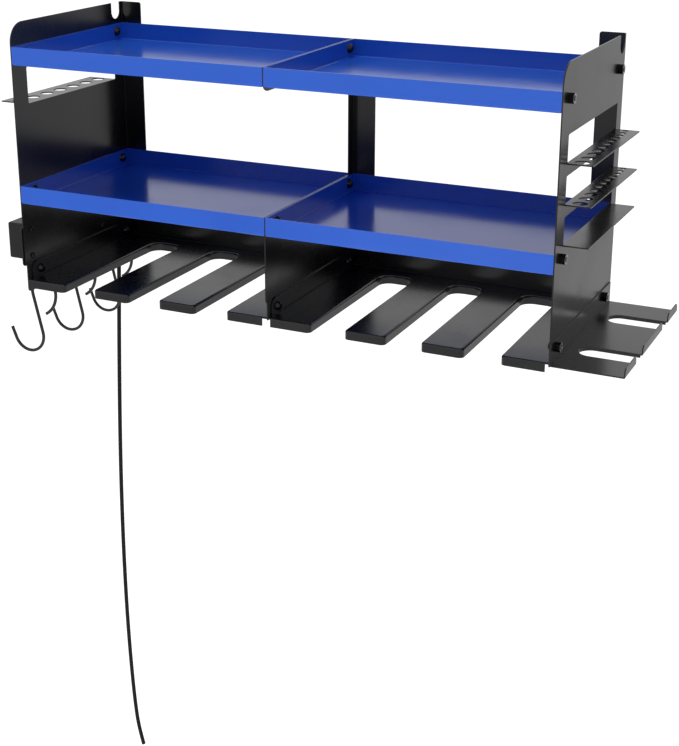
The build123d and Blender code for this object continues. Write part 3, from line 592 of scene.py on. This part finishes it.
def mark_rocker():
    """A bar for on and a ring for off."""
    ink = white_ink("switch_mark_ink")
    bar = upright_bar(-MARK_PLACE, BAR_HALF_HEIGHT, BAR_HALF_WIDTH)
    ring = [circle(MARK_PLACE, radius) for radius in (RING_OUTER_RADIUS, RING_INNER_RADIUS)]
    raised_outline("switch_mark_on", [bar], ink)
    raised_outline("switch_mark_off", ring, ink)


# Floor, lamps and surroundings

def lay_floor():
    """Pale floor that still takes the object's soft shadow, and is clear when looked at from below."""
    mesh = bmesh.new()
    bmesh.ops.create_grid(mesh, x_segments=1, y_segments=1, size=FLOOR_HALF_SIZE)
    data = bpy.data.meshes.new("floor")
    mesh.to_mesh(data)
    mesh.free()
    floor = keep_in_scene(bpy.data.objects.new("floor", data))
    floor.location = FLOOR_PLACE
    finish = bpy.data.materials.new("floor_white")
    finish.use_nodes = True
    tree = finish.node_tree
    tree.nodes.clear()
    paint = tree.nodes.new("ShaderNodeBsdfDiffuse")
    paint.inputs["Color"].default_value = FLOOR_COLOUR
    glow = tree.nodes.new("ShaderNodeEmission")
    rays = tree.nodes.new("ShaderNodeLightPath")
    seen = math_node(tree, "MULTIPLY", rays.outputs["Is Camera Ray"], FLOOR_SEEN)
    mirrored = math_node(tree, "MULTIPLY", rays.outputs["Is Glossy Ray"], FLOOR_MIRRORED)
    tree.links.new(math_node(tree, "ADD", seen, mirrored), glow.inputs["Strength"])
    both = tree.nodes.new("ShaderNodeAddShader")
    tree.links.new(paint.outputs[0], both.inputs[0])
    tree.links.new(glow.outputs[0], both.inputs[1])
    clear = tree.nodes.new("ShaderNodeBsdfTransparent")
    underside = tree.nodes.new("ShaderNodeNewGeometry").outputs["Backfacing"]
    either = tree.nodes.new("ShaderNodeMixShader")
    seen_below = math_node(tree, "MULTIPLY", rays.outputs["Is Camera Ray"], underside)
    tree.links.new(seen_below, either.inputs["Fac"])
    tree.links.new(both.outputs[0], either.inputs[1])
    tree.links.new(clear.outputs[0], either.inputs[2])
    output = tree.nodes.new("ShaderNodeOutputMaterial")
    tree.links.new(either.outputs[0], output.inputs["Surface"])
    data.materials.append(finish)


def surround():
    """Soft white surroundings, pure white behind the object."""
    world = bpy.data.worlds.new("surroundings")
    bpy.context.scene.world = world
    world.use_nodes = True
    tree = world.node_tree
    background = tree.nodes["Background"]
    background.inputs["Color"].default_value = (1, 1, 1, 1)
    rays = tree.nodes.new("ShaderNodeLightPath")
    seen = math_node(tree, "MULTIPLY", rays.outputs["Is Camera Ray"], SKY_SEEN)
    mirrored = math_node(tree, "MULTIPLY", rays.outputs["Is Glossy Ray"], SKY_MIRRORED)
    strength = math_node(tree, "ADD", math_node(tree, "ADD", seen, mirrored), SKY_LIGHT)
    tree.links.new(strength, background.inputs["Strength"])


def soft_lamp(name, place, aim, size, power):
    """Large soft lamp that shows neither to the camera nor in the coats' reflections."""
    light = bpy.data.lights.new(name, "AREA")
    light.shape = "RECTANGLE"
    light.size, light.size_y = size
    light.energy = power
    lamp = keep_in_scene(bpy.data.objects.new(name, light))
    lamp.location = place
    lamp.rotation_euler = (Vector(aim) - Vector(place)).to_track_quat("-Z", "Y").to_euler()
    lamp.visible_camera = False
    lamp.visible_glossy = False


set_camera()
coat_sheets()
finish_fasteners()
finish_strip()
finish_hooks()
hang_cord(finish_strain_relief())
mark_rocker()
lay_floor()
surround()
soft_lamp("front_lamp", place=(0.1, -2.3, -0.85), aim=(0, -0.2, 0), size=(2.2, 0.9), power=36)
soft_lamp("top_lamp", place=(-0.1, -0.55, 2.2), aim=(0, -0.12, 0), size=(1.4, 1.4), power=20)
bpy.context.scene.view_settings.view_transform = "Standard"
